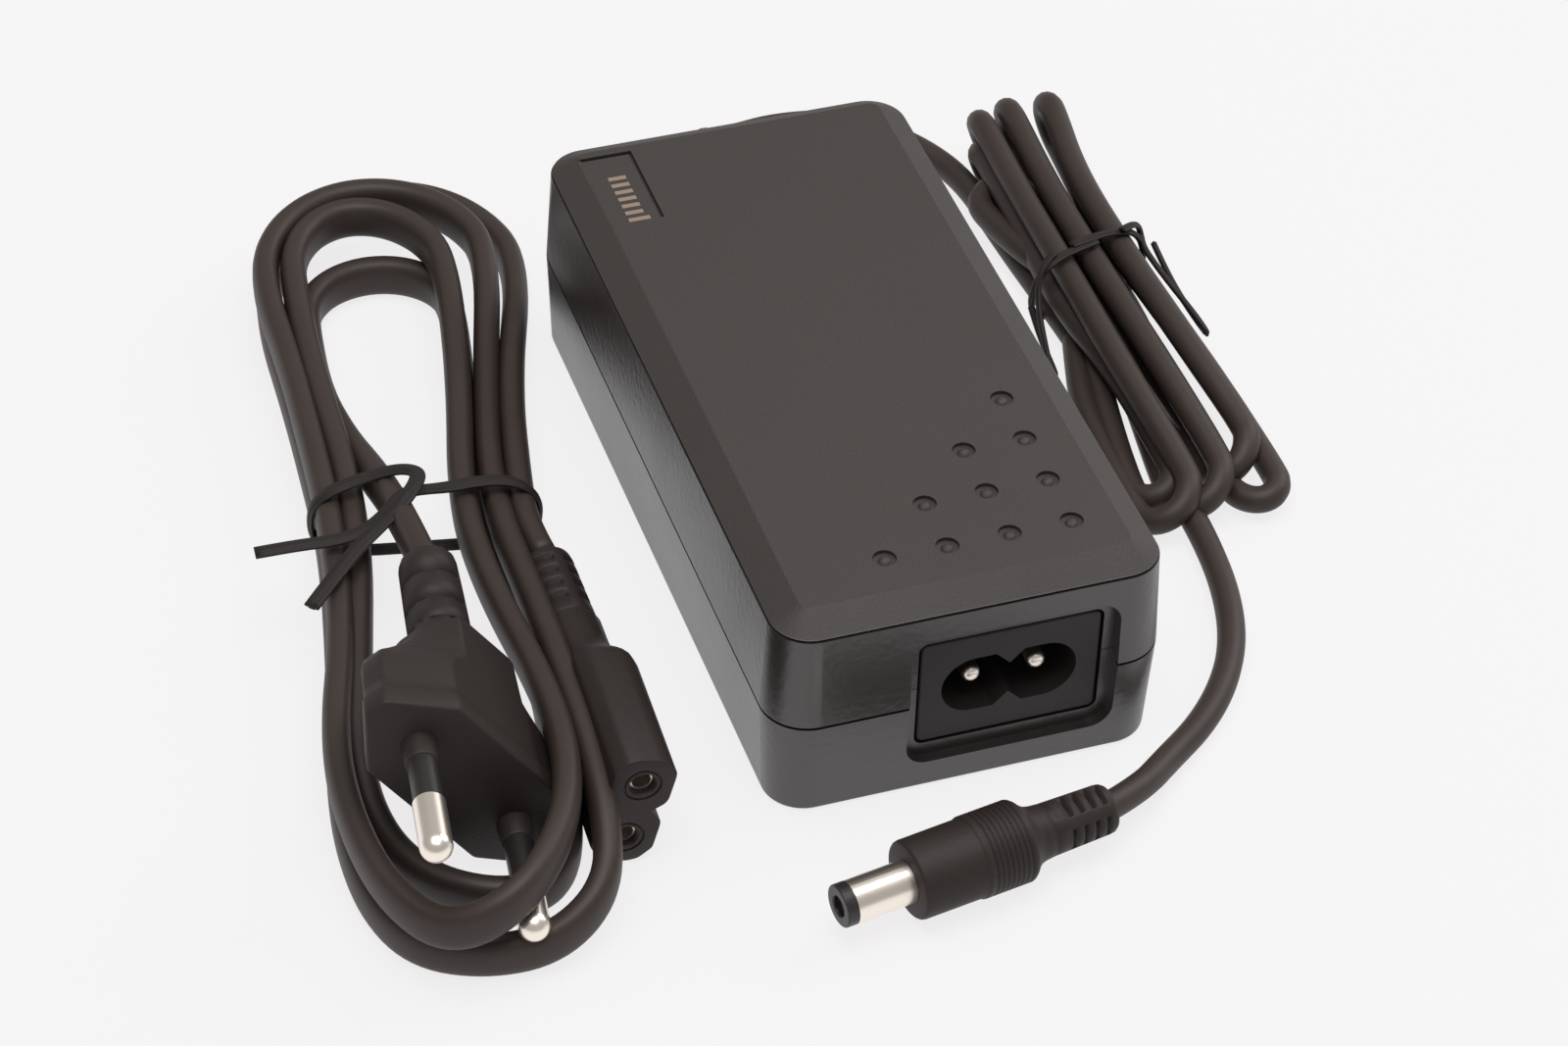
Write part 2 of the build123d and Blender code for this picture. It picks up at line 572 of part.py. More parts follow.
with BuildPart() as dc_plug_tip_ring:
    plug_length(DC_BARREL_R, 0, DC_TIP_RING)
    plug_length(DC_CORE_R, DC_TIP_RING, DC_BARREL_SEAT_END)
    plug_length(1.35, 0, 10.0, Mode.SUBTRACT)
    fillet(dc_plug_tip_ring.edges().filter_by(GeomType.CIRCLE).sort_by(Axis.X)[:2], 0.25)
finish(dc_plug_tip_ring, "dc_plug_tip_ring")

with BuildPart() as dc_plug_sleeve:
    plug_length(DC_BARREL_R, DC_TIP_RING + 0.02, DC_BARREL_LENGTH - 0.05)
    plug_length(DC_BARREL_SEAT_R, DC_BARREL_LENGTH - 0.05, DC_BARREL_SEAT_END)
    plug_length(DC_CORE_R + 0.02, DC_TIP_RING, DC_BARREL_SEAT_END + 0.1, Mode.SUBTRACT)
finish(dc_plug_sleeve, "dc_plug_sleeve")

with BuildPart() as dc_plug_contact:
    plug_length(1.3, 0.8, 9.9)
    plug_length(1.0, 0.7, 8.5, Mode.SUBTRACT)
    for turn in (0, 90):
        slot_plane = DC_PLUG.offset(0.7).rotated((0, 0, turn))
        extrude(rectangle_on(slot_plane, (4.0, 0.6), 0.2), amount=6.5, mode=Mode.SUBTRACT)
finish(dc_plug_contact, "dc_plug_contact")

with BuildPart() as dc_plug_grip:
    plug_length(DC_GRIP_R, DC_BARREL_LENGTH, DC_RING_ZONE_START)
    plug_length(DC_RING_ZONE_R, DC_RING_ZONE_START, DC_RING_ZONE_END)
    relief_start = circle_on(DC_PLUG.offset(DC_RELIEF_START), DC_RELIEF_R[0])
    loft(sections=[circle_on(DC_PLUG.offset(DC_RING_ZONE_END), DC_RING_ZONE_R), relief_start])
    loft(sections=[relief_start, circle_on(DC_PLUG.offset(DC_PLUG_LENGTH), DC_RELIEF_R[1])])
    plug_length(DC_BARREL_SEAT_R + 0.02, DC_BARREL_LENGTH - 0.1, DC_BARREL_SEAT_END + 0.05, Mode.SUBTRACT)
    for groove in range(DC_RING_COUNT):
        groove_start = DC_RING_ZONE_END - (groove + 1) * DC_RING_PITCH
        groove_ring = circle_on(DC_PLUG.offset(groove_start), DC_RING_ZONE_R + 0.2)
        groove_ring = groove_ring - circle_on(DC_PLUG.offset(groove_start), DC_RING_ZONE_R - 0.28)
        extrude(groove_ring, amount=0.28, mode=Mode.SUBTRACT)
finish(dc_plug_grip, "dc_plug_grip")

# ------------------------------------------------------------------ mains lead
with BuildPart() as mains_hank:
    mains_shape = rounded_outline(MAINS_HANK, 5.0) - rounded_outline(MAINS_HANK_HOLE, 3.5)
    extrude(mains_shape, amount=MAINS_HANK_TOP)
finish(mains_hank, "mains_hank")

print("mains_cord_to_plug")
mains_cord_to_plug = cord_tube(PLUG_ROUTE, MAINS_CORD[0])
finish(mains_cord_to_plug, "mains_cord_to_plug")
print("mains_cord_to_connector")
mains_cord_to_connector = cord_tube(CONNECTOR_ROUTE, MAINS_CORD[0])
finish(mains_cord_to_connector, "mains_cord_to_connector")

with BuildPart() as mains_tie:
    tie_plane = Plane(origin=(-53.4, MAINS_TIE_Y + 0.9, 6.9), x_dir=(1, 0, 0), z_dir=(0, -1, 0))
    extrude(rectangle_on(tie_plane, (34.0, 13.7), 4.5), amount=1.8)
    extrude(rectangle_on(tie_plane, (32.6, 12.3), 3.8), amount=1.8, mode=Mode.SUBTRACT)
    block((-66.5, MAINS_TIE_Y - 5.0, 13.4), (19.0, 1.8, 0.9))
    block((-57.9, MAINS_TIE_Y - 2.0, 13.4), (1.8, 7.0, 0.9))
finish(mains_tie, "mains_tie")

EUROPLUG = Plane(origin=EUROPLUG_FACE, x_dir=EUROPLUG_WIDTH_DIRECTION, z_dir=EUROPLUG_PIN_DIRECTION)


def europlug_pin_plane(side, distance):
    """A plane across one of the two pins at a distance from the plug's face."""
    spot = EUROPLUG.from_local_coords((side * EUROPLUG_PIN_PITCH / 2, 0, 0))
    return EUROPLUG.shift_origin(spot).offset(distance)


with BuildPart() as mains_plug_body:
    extrude(octagon(EUROPLUG, EUROPLUG_HALF), amount=-EUROPLUG_RIM)
    middle = octagon(EUROPLUG.offset(-EUROPLUG_MIDDLE), EUROPLUG_MIDDLE_HALF)
    rim_half = [half - EUROPLUG_STEP for half in EUROPLUG_HALF]
    loft(sections=[octagon(EUROPLUG.offset(-EUROPLUG_RIM), rim_half), middle])
    loft(sections=[middle, octagon(EUROPLUG.offset(-EUROPLUG_BODY), EUROPLUG_BACK_HALF)])
    neck_start = circle_on(EUROPLUG.offset(-EUROPLUG_NECK_START), EUROPLUG_NECK_R)
    neck_root = circle_on(EUROPLUG.offset(-EUROPLUG_BODY + 1), EUROPLUG_NECK_ROOT_R)
    loft(sections=[neck_root, neck_start])
    neck_end = circle_on(EUROPLUG.offset(-EUROPLUG_LENGTH), EUROPLUG_NECK_END_R)
    loft(sections=[neck_start, neck_end])
    for groove in EUROPLUG_GROOVES:
        groove_ring = circle_on(EUROPLUG.offset(groove), 6) - circle_on(EUROPLUG.offset(groove), EUROPLUG_NECK_CORE_R)
        extrude(groove_ring, amount=0.8, mode=Mode.SUBTRACT)
    for side in (-1, 1):
        extrude(circle_on(europlug_pin_plane(side, 0), EUROPLUG_BOSS_R), amount=EUROPLUG_BOSS_LENGTH)
        core_bore = circle_on(europlug_pin_plane(side, 4), EUROPLUG_CORE_R + 0.02)
        extrude(core_bore, amount=-12, mode=Mode.SUBTRACT)
finish(mains_plug_body, "mains_plug_body")

with BuildPart() as mains_plug_sleeves:
    for side in (-1, 1):
        sleeve_start = EUROPLUG_BOSS_LENGTH + 0.05
        sleeve_plane = europlug_pin_plane(side, sleeve_start)
        sleeve_ring = circle_on(sleeve_plane, EUROPLUG_SLEEVE_R)
        sleeve_ring = sleeve_ring - circle_on(sleeve_plane, EUROPLUG_CORE_R + 0.02)
        extrude(sleeve_ring, amount=EUROPLUG_SLEEVE - sleeve_start)
finish(mains_plug_sleeves, "mains_plug_sleeves")

with BuildPart() as mains_plug_pins:
    for side in (-1, 1):
        extrude(circle_on(europlug_pin_plane(side, -7), EUROPLUG_CORE_R), amount=EUROPLUG_SLEEVE + 7.1)
        tip_start = EUROPLUG_PIN_LENGTH - EUROPLUG_PIN_R
        extrude(circle_on(europlug_pin_plane(side, EUROPLUG_SLEEVE + 0.02), EUROPLUG_PIN_R),
                amount=tip_start - EUROPLUG_SLEEVE)
        with Locations(europlug_pin_plane(side, tip_start + 0.02).location):
            Sphere(EUROPLUG_PIN_R)
finish(mains_plug_pins, "mains_plug_pins")

CONNECTOR_PLANE = Plane(origin=CONNECTOR_FACE, x_dir=CONNECTOR_WIDTH_DIRECTION, z_dir=CONNECTOR_DIRECTION)


def connector_bore_plane(side, distance):
    """A plane across one of the connector's two sockets at a distance behind its face."""
    spot = CONNECTOR_PLANE.from_local_coords((side * PIN_PITCH / 2, 0, 0))
    return CONNECTOR_PLANE.shift_origin(spot).offset(-distance)


with BuildPart() as connector_body:
    extrude(figure_eight(CONNECTOR_PLANE, CONNECTOR, CONNECTOR_NECK), amount=-CONNECTOR_BODY)
    loft(sections=[rectangle_on(CONNECTOR_PLANE.offset(-CONNECTOR_BODY), CONNECTOR, 4.0),
                   rectangle_on(CONNECTOR_PLANE.offset(-CONNECTOR_RELIEF), (9.4, 8.0), 3.9)])
    loft(sections=[circle_on(CONNECTOR_PLANE.offset(-CONNECTOR_RELIEF + 0.5), 4.0),
                   circle_on(CONNECTOR_PLANE.offset(-CONNECTOR_LENGTH), 3.3)])
    for side in (-1, 1):
        extrude(circle_on(connector_bore_plane(side, -0.1), 1.5), amount=-12.1, mode=Mode.SUBTRACT)
finish(connector_body, "connector_body")

with BuildPart() as connector_contacts:
    for side in (-1, 1):
        extrude(circle_on(connector_bore_plane(side, 1.0), 1.5), amount=-11.0)
        extrude(circle_on(connector_bore_plane(side, 0.9), 1.22), amount=-10.0, mode=Mode.SUBTRACT)
finish(connector_contacts, "connector_contacts")
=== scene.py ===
"""Looks of the laptop power adapter: camera, light, leads, detailed pieces and materials.

Metres, in the CAD's own frame: +Z up, the origin at the bottom centre of the brick, the inlet at -Y.
"""
import math

import bpy
import bmesh
from mathutils import Matrix, Vector


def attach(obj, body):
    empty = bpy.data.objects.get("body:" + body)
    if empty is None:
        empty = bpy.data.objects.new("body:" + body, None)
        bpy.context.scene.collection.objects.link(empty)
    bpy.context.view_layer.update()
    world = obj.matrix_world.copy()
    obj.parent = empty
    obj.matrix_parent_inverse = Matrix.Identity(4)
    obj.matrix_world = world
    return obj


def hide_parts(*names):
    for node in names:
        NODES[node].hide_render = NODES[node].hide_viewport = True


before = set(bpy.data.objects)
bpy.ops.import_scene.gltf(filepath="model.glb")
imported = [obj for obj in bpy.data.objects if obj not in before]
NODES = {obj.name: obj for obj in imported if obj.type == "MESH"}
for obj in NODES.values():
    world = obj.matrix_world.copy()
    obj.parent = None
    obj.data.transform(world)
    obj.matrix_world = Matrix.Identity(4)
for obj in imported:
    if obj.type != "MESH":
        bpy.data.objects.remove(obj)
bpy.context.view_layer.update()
MM = 0.001
UP = Vector((0, 0, 1))

# ---------------------------------------------------------------- leads: the lines that they follow
DC_CORD_D = 0.0037
MAINS_CORD_WIDTH = 0.0058
MAINS_CORD_THICKNESS = 0.0036
GLAND_END = (0.0040, 0.0620, 0.0144)
CONNECTOR_END = (-0.04195, -0.00716, 0.0087)


def bend(start, end, rise, steps=6):
    """The points of a half turn from one foot to the other, with its tip rise further along Y."""
    points = []
    for step in range(steps + 1):
        angle = math.pi * step / steps
        along = (1 - math.cos(angle)) / 2
        x, y, z = (a + (b - a) * along for a, b in zip(start, end))
        points.append((x, y + rise * math.sin(angle), z))
    return points


MAINS_LINE = [
    # up the right side from the connector, and round the outermost top bend
    CONNECTOR_END, (-0.0424, -0.0010, 0.0086), (-0.0414, 0.0065, 0.0082), (-0.0357, 0.0320, 0.0060),
    *bend((-0.0262, 0.0600, 0.0030), (-0.0630, 0.0560, 0.0029), 0.0232),
    (-0.0637, 0.0400, 0.0029), (-0.0648, 0.0250, 0.0029), (-0.0663, 0.0080, 0.0029),
    (-0.0723, -0.0200, 0.0029),
    # bottom bend that leans on the connector
    (-0.0768, -0.0370, 0.0029), (-0.0776, -0.0520, 0.0029), (-0.0745, -0.0620, 0.0030),
    (-0.0668, -0.0664, 0.0030), (-0.0579, -0.0676, 0.0040), (-0.0505, -0.0635, 0.0070),
    (-0.0482, -0.0553, 0.0105), (-0.0473, -0.0444, 0.0120), (-0.0468, -0.0350, 0.0120),
    (-0.0462, -0.0200, 0.0115),
    (-0.0452, 0.0070, 0.0080), (-0.0387, 0.0330, 0.0060),
    *bend((-0.0315, 0.0570, 0.0087), (-0.0634, 0.0560, 0.0087), 0.0186),
    (-0.0637, 0.0400, 0.0087), (-0.0648, 0.0250, 0.0087), (-0.0663, 0.0080, 0.0087),
    (-0.0702, -0.0134, 0.0087),
    # bottom bend over the plug's pins
    (-0.0761, -0.0317, 0.0087), (-0.0775, -0.0460, 0.0087), (-0.0760, -0.0590, 0.0087),
    (-0.0710, -0.0675, 0.0090), (-0.0625, -0.0680, 0.0130), (-0.0549, -0.0595, 0.0140),
    (-0.0510, -0.0490, 0.0140), (-0.0498, -0.0347, 0.0130), (-0.0508, -0.0119, 0.0110),
    (-0.0493, 0.0070, 0.0087), (-0.0428, 0.0310, 0.0087),
    *bend((-0.0378, 0.0560, 0.0087), (-0.0593, 0.0560, 0.0087), 0.0150),
    (-0.0612, 0.0400, 0.0087), (-0.0625, 0.0080, 0.0087), (-0.0700, -0.0200, 0.0060),
    # innermost bottom bend
    (-0.0731, -0.0310, 0.0050), (-0.0735, -0.0424, 0.0030), (-0.0703, -0.0520, 0.0030),
    (-0.0633, -0.0575, 0.0030), (-0.0560, -0.0580, 0.0029), (-0.0512, -0.0510, 0.0029),
    (-0.0488, -0.0350, 0.0035), (-0.0465, -0.0200, 0.0029),
    (-0.0472, 0.0070, 0.0029), (-0.0414, 0.0340, 0.0029),
    *bend((-0.0375, 0.0545, 0.0030), (-0.0582, 0.0545, 0.0030), 0.0098),
    (-0.0600, 0.0400, 0.0029), (-0.0594, 0.0270, 0.0048),
    # up through the hank to the plug
    (-0.0588, 0.0150, 0.0092), (-0.0586, 0.0060, 0.0122), (-0.0585, -0.0030, 0.0142),
    (-0.05831, -0.01059, 0.01468),
]

DC_LINE = [
    # out of the gland, round behind the brick and down the left side of the hank
    GLAND_END, (0.0040, 0.0676, 0.0133), (0.0048, 0.0723, 0.0099), (0.0073, 0.0767, 0.0060),
    (0.0120, 0.0806, 0.0031), (0.0190, 0.0830, 0.0020), (0.0270, 0.0820, 0.0019),
    (0.0340, 0.0774, 0.0019), (0.0390, 0.0702, 0.0019), (0.0416, 0.0610, 0.0023),
    (0.0420, 0.0474, 0.0022), (0.0432, 0.0320, 0.0020), (0.0440, 0.0170, 0.0020), (0.0412, 0.0040, 0.0020),
    *bend((0.0392, -0.0085, 0.0020), (0.0450, -0.0080, 0.0044), -0.0036),
    (0.0448, 0.0096, 0.0058), (0.0428, 0.0280, 0.0056), (0.0436, 0.0450, 0.0064),
    *bend((0.0438, 0.0605, 0.0070), (0.0454, 0.0610, 0.0019), 0.0032),
    (0.0464, 0.0320, 0.0021), (0.0422, 0.0190, 0.0020), (0.0392, 0.0090, 0.0020),
    *bend((0.0380, -0.0128, 0.0020), (0.0456, -0.0115, 0.0060), -0.0048),
    (0.0444, 0.0060, 0.0082), (0.0443, 0.0320, 0.0093), (0.0442, 0.0470, 0.0096),
    *bend((0.0446, 0.0630, 0.0102), (0.0476, 0.0636, 0.0019), 0.0050),
    (0.0502, 0.0320, 0.0021), (0.0474, 0.0120, 0.0020),
    *bend((0.0436, -0.0115, 0.0020), (0.0508, -0.0100, 0.0062), -0.0048),
    (0.0496, 0.0080, 0.0086), (0.0487, 0.0320, 0.0094), (0.0486, 0.0490, 0.0098),
    *bend((0.0494, 0.0644, 0.0104), (0.0520, 0.0650, 0.0019), 0.0050),
    (0.0538, 0.0320, 0.0021), (0.0522, 0.0130, 0.0020),
    *bend((0.0502, -0.0068, 0.0020), (0.0566, -0.0050, 0.0064), -0.0046),
    (0.0548, 0.0090, 0.0086), (0.0534, 0.0330, 0.0095), (0.0534, 0.0500, 0.0098),
    *bend((0.0556, 0.0642, 0.0104), (0.0578, 0.0648, 0.0019), 0.0050),
    (0.0560, 0.0480, 0.0030), (0.0552, 0.0330, 0.0058), (0.0570, 0.0180, 0.0045), (0.0580, 0.0060, 0.0036),
    # outer bottom bend
    *bend((0.0584, -0.0122, 0.0032), (0.0520, -0.0112, 0.0020), -0.0044),
    (0.0510, 0.0060, 0.0036), (0.0500, 0.0320, 0.0058),
    *bend((0.0478, 0.0515, 0.0050), (0.0402, 0.0515, 0.0044), 0.0050),
    # out of the hank and round to the barrel plug
    (0.0424, 0.0390, 0.0056), (0.0462, 0.0300, 0.0058), (0.0465, 0.0080, 0.0052),
    (0.0448, -0.0125, 0.0026), (0.0449, -0.0210, 0.0019), (0.0437, -0.0305, 0.0019),
    (0.0410, -0.0395, 0.0019), (0.0366, -0.0470, 0.0019), (0.0308, -0.0532, 0.0019),
    (0.0240, -0.0582, 0.0023), (0.0182, -0.0636, 0.0042), (0.01234, -0.06661, 0.00535),
]

# ---------------------------------------------------------------- camera, floor and light
CAMERA_AT = Vector((-0.158507, -0.417372, 0.390448))
CAMERA_AZIMUTH = math.radians(-19.959)
CAMERA_ELEVATION = math.radians(41.282)
CAMERA_ROLL = math.radians(2.149)
CAMERA_LENS = 102.16
SENSOR_WIDTH = 36.0
CAMERA_NEAR = 0.01
FLOOR_REACH = 3.0
FLOOR_DROP = 0.0002
FLOOR_GLOW = 0.81
WORLD_GLOW = 0.38


def link(obj):
    """Put an object into the scene."""
    bpy.context.scene.collection.objects.link(obj)
    return obj


def make_camera():
    """The camera at the photograph's viewing angle."""
    cos_e, sin_e = math.cos(CAMERA_ELEVATION), math.sin(CAMERA_ELEVATION)
    back = Vector((math.sin(CAMERA_AZIMUTH) * cos_e, -math.cos(CAMERA_AZIMUTH) * cos_e, sin_e))
    level = (-back).cross(UP).normalized()
    upright = level.cross(-back)
    right = math.cos(CAMERA_ROLL) * level + math.sin(CAMERA_ROLL) * upright
    up = math.cos(CAMERA_ROLL) * upright - math.sin(CAMERA_ROLL) * level
    data = bpy.data.cameras.new("camera")
    data.lens = CAMERA_LENS
    data.sensor_width = SENSOR_WIDTH
    data.clip_start = CAMERA_NEAR
    camera = link(bpy.data.objects.new("camera", data))
    camera.matrix_world = Matrix((right, up, back)).transposed().to_4x4()
    camera.location = CAMERA_AT
    bpy.context.scene.camera = camera


def area_light(name, place, size, power):
    """A square soft light at a place, turned to the middle of the object."""
    data = bpy.data.lights.new(name, "AREA")
    data.size = size
    data.energy = power
    lamp = link(bpy.data.objects.new(name, data))
    lamp.location = place
    lamp.rotation_euler = (-Vector(place)).to_track_quat("-Z", "Y").to_euler()


def make_stage():
    """A plain pale floor, lit from beneath like a light table, under a soft overhead light."""
    mesh = bpy.data.meshes.new("floor")
    corners = [(-1, -1), (1, -1), (1, 1), (-1, 1)]
    mesh.from_pydata([(x * FLOOR_REACH, y * FLOOR_REACH, -FLOOR_DROP) for x, y in corners], [], [(0, 1, 2, 3)])
    floor = link(bpy.data.objects.new("floor", mesh))
    paper = bpy.data.materials.new("pale_paper")
    paper.use_nodes = True
    shader = paper.node_tree.nodes["Principled BSDF"]
    shader.inputs["Base Color"].default_value = (0.10, 0.10, 0.10, 1)
    shader.inputs["Roughness"].default_value = 0.9
    shader.inputs["Specular IOR Level"].default_value = 0.0
    shader.inputs["Emission Color"].default_value = (1.0, 0.985, 0.99, 1)
    shader.inputs["Emission Strength"].default_value = FLOOR_GLOW
    mesh.materials.append(paper)
    world = bpy.data.worlds.new("tent")
    world.use_nodes = True
    background = world.node_tree.nodes["Background"]
    background.inputs["Color"].default_value = (1.0, 0.97, 0.95, 1)
    background.inputs["Strength"].default_value = WORLD_GLOW
    bpy.context.scene.world = world
    bpy.context.scene.view_settings.view_transform = "Standard"
    area_light("overhead", (-0.05, -0.12, 0.90), 0.65, 6.3)
    area_light("right_fill", (0.75, 0.25, 0.55), 0.6, 3.2)


make_camera()
make_stage()


# ---------------------------------------------------------------- materials
# The mix node keeps its sockets for colours and for plain numbers side by side.
MIX_FACTOR = 0
MIX_COLOURS, MIX_COLOUR_OUT = (6, 7), 2
MIX_NUMBERS, MIX_NUMBER_OUT = (2, 3), 0
GRAIN_DEPTH = 0.0001
SHOULDER_Z = 0.0283
SHOULDER_BLEND = 0.0001


def node(tree, kind, **settings):
    """A shader node with some of its settings or inputs set."""
    made = tree.nodes.new(kind)
    for key, value in settings.items():
        if hasattr(made, key):
            setattr(made, key, value)
        else:
            made.inputs[key.replace("_", " ")].default_value = value
    return made


def noise(tree, place, scale, detail):
    """A noise texture in the object's own space."""
    made = node(tree, "ShaderNodeTexNoise", Scale=scale, Detail=detail)
    tree.links.new(place.outputs["Object"], made.inputs["Vector"])
    return made


def finish_of(name, colour, roughness, specular=0.5, metallic=0.0, grain=0.0, grain_scale=1500.0,
              mottle=0.12, mottle_scale=60.0):
    """A moulded, drawn or plated finish: mottled colour and gloss, with a grain in its surface."""
    made = bpy.data.materials.new(name)
    made.use_nodes = True
    tree = made.node_tree
    shader = tree.nodes["Principled BSDF"]
    shader.inputs["Metallic"].default_value = metallic
    shader.inputs["Specular IOR Level"].default_value = specular
    place = node(tree, "ShaderNodeTexCoord")
    cloud = noise(tree, place, mottle_scale, 5.0)
    tint = node(tree, "ShaderNodeMix", data_type="RGBA")
    dark = [c * (1 - mottle) for c in colour]
    light = [c * (1 + mottle) for c in colour]
    for socket, shade in zip(MIX_COLOURS, (dark, light)):
        tint.inputs[socket].default_value = (*shade, 1)
    tree.links.new(cloud.outputs["Fac"], tint.inputs[MIX_FACTOR])
    tree.links.new(tint.outputs[MIX_COLOUR_OUT], shader.inputs["Base Color"])
    roughness_spread = 0.06
    gloss = node(tree, "ShaderNodeMapRange")
    gloss.inputs["To Min"].default_value = max(0.02, roughness - roughness_spread)
    gloss.inputs["To Max"].default_value = roughness + roughness_spread
    tree.links.new(cloud.outputs["Fac"], gloss.inputs["Value"])
    tree.links.new(gloss.outputs["Result"], shader.inputs["Roughness"])
    if grain:
        speckle = noise(tree, place, grain_scale, 3.0)
        bump = node(tree, "ShaderNodeBump", Strength=grain, Distance=GRAIN_DEPTH)
        tree.links.new(speckle.outputs["Fac"], bump.inputs["Height"])
        tree.links.new(bump.outputs["Normal"], shader.inputs["Normal"])
    return made


def shell_finish():
    """The brick's moulding: matte and fine above the shoulder line, glossier spark-eroded walls below; above the
    line the plastic's own brown is also painted darker than the walls, as painted shade against the overhead
    light.
    """
    made = bpy.data.materials.new("shell_plastic")
    made.use_nodes = True
    tree = made.node_tree
    shader = tree.nodes["Principled BSDF"]
    shader.inputs["Specular IOR Level"].default_value = 1.0
    place = node(tree, "ShaderNodeTexCoord")
    parts = node(tree, "ShaderNodeSeparateXYZ")
    tree.links.new(place.outputs["Object"], parts.inputs["Vector"])
    above = node(tree, "ShaderNodeMapRange")
    above.inputs["From Min"].default_value = SHOULDER_Z - SHOULDER_BLEND
    above.inputs["From Max"].default_value = SHOULDER_Z + SHOULDER_BLEND
    tree.links.new(parts.outputs["Z"], above.inputs["Value"])
    wall_tint = (0.019, 0.0145, 0.014, 1)
    # Top colour: the plastic's own brown, painted darker than the walls as painted shade that holds back the
    # overhead light.
    top_tint_with_painted_shade = (0.012, 0.0050, 0.0025, 1)
    tint = node(tree, "ShaderNodeMix", data_type="RGBA")
    tint.inputs[MIX_COLOURS[0]].default_value = wall_tint
    tint.inputs[MIX_COLOURS[1]].default_value = top_tint_with_painted_shade
    tree.links.new(above.outputs["Result"], tint.inputs[MIX_FACTOR])
    grain = noise(tree, place, 2600.0, 2.0)
    erosion = noise(tree, place, 900.0, 4.0)
    cloud = noise(tree, place, 45.0, 5.0)
    speckle_share = 0.35
    speckle = node(tree, "ShaderNodeMix", data_type="RGBA", blend_type="MULTIPLY")
    speckle.inputs[MIX_FACTOR].default_value = speckle_share
    tree.links.new(tint.outputs[MIX_COLOUR_OUT], speckle.inputs[MIX_COLOURS[0]])
    tree.links.new(grain.outputs["Color"], speckle.inputs[MIX_COLOURS[1]])
    speckle_gain = 1.2
    bright = node(tree, "ShaderNodeMix", data_type="RGBA", blend_type="MULTIPLY")
    bright.inputs[MIX_FACTOR].default_value = 1.0
    bright.inputs[MIX_COLOURS[1]].default_value = (speckle_gain, speckle_gain, speckle_gain, 1)
    tree.links.new(speckle.outputs[MIX_COLOUR_OUT], bright.inputs[MIX_COLOURS[0]])
    tree.links.new(bright.outputs[MIX_COLOUR_OUT], shader.inputs["Base Color"])
    wall_roughness, top_roughness, roughness_spread = 0.32, 0.70, 0.12
    gloss = node(tree, "ShaderNodeMapRange")
    gloss.inputs["To Min"].default_value = wall_roughness
    gloss.inputs["To Max"].default_value = top_roughness
    tree.links.new(above.outputs["Result"], gloss.inputs["Value"])
    uneven = node(tree, "ShaderNodeMath", operation="MULTIPLY_ADD")
    uneven.inputs[1].default_value = roughness_spread
    uneven.inputs[2].default_value = -roughness_spread / 2
    tree.links.new(cloud.outputs["Fac"], uneven.inputs[0])
    added = node(tree, "ShaderNodeMath", operation="ADD")
    tree.links.new(gloss.outputs["Result"], added.inputs[0])
    tree.links.new(uneven.outputs["Value"], added.inputs[1])
    tree.links.new(added.outputs["Value"], shader.inputs["Roughness"])
    height = node(tree, "ShaderNodeMix", data_type="FLOAT")
    tree.links.new(above.outputs["Result"], height.inputs[MIX_FACTOR])
    tree.links.new(erosion.outputs["Fac"], height.inputs[MIX_NUMBERS[0]])
    tree.links.new(grain.outputs["Fac"], height.inputs[MIX_NUMBERS[1]])
    bump = node(tree, "ShaderNodeBump", Strength=0.55, Distance=GRAIN_DEPTH)
    tree.links.new(height.outputs[MIX_NUMBER_OUT], bump.inputs["Height"])
    tree.links.new(bump.outputs["Normal"], shader.inputs["Normal"])
    return made


SHELL = shell_finish()
INLET = finish_of("inlet_plastic", (0.017, 0.0135, 0.013), 0.5, specular=0.4, grain=0.35, grain_scale=1200.0)
JACKET = finish_of("cord_jacket", (0.037, 0.0265, 0.0225), 0.5, specular=0.35, grain=0.12, grain_scale=700.0,
                   mottle=0.15)
PLUG = finish_of("plug_plastic", (0.024, 0.0175, 0.0155), 0.55, specular=0.3, grain=0.45, grain_scale=1700.0)
DARK_RUBBER = finish_of("tie_plastic", (0.018, 0.0135, 0.012), 0.6, specular=0.3, grain=0.4, grain_scale=2200.0)
NICKEL = finish_of("nickel", (0.98, 0.90, 0.81), 0.30, metallic=1.0, grain=0.05, grain_scale=400.0, mottle=0.05)
TIP = finish_of("tip_plastic", (0.018, 0.016, 0.0155), 0.40, grain=0.2)
BAR = finish_of("light_pipe", (0.27, 0.20, 0.155), 0.35, grain=0.2, grain_scale=900.0, mottle=0.10)
CARD = finish_of("board", (0.03, 0.16, 0.06), 0.45, grain=0.2, mottle=0.2, mottle_scale=200.0)
FISHPAPER = finish_of("sheet", (0.55, 0.50, 0.38), 0.7, grain=0.2)
FERRITE = finish_of("ferrite", (0.05, 0.05, 0.055), 0.6, grain=0.5)
TAPE = finish_of("winding", (0.75, 0.55, 0.12), 0.35, grain=0.1)
COPPER = finish_of("copper", (0.72, 0.32, 0.16), 0.3, metallic=1.0, grain=0.3)
ALUMINIUM = finish_of("aluminium", (0.75, 0.76, 0.77), 0.35, metallic=1.0, grain=0.2)
EPOXY = finish_of("component_black", (0.02, 0.02, 0.02), 0.45, grain=0.2)
GREY = finish_of("component_grey", (0.30, 0.30, 0.29), 0.5, grain=0.2)
BLUE = finish_of("component_blue", (0.05, 0.16, 0.42), 0.35, grain=0.1)
SLEEVE = finish_of("capacitor_sleeve", (0.03, 0.05, 0.12), 0.3, grain=0.1)
CERAMIC = finish_of("fuse_ceramic", (0.78, 0.75, 0.68), 0.4, grain=0.2)
LENS = finish_of("led_lens", (0.55, 0.85, 0.55), 0.15, grain=0.05)
WIRE = finish_of("wire_insulation", (0.45, 0.05, 0.04), 0.4, grain=0.1)

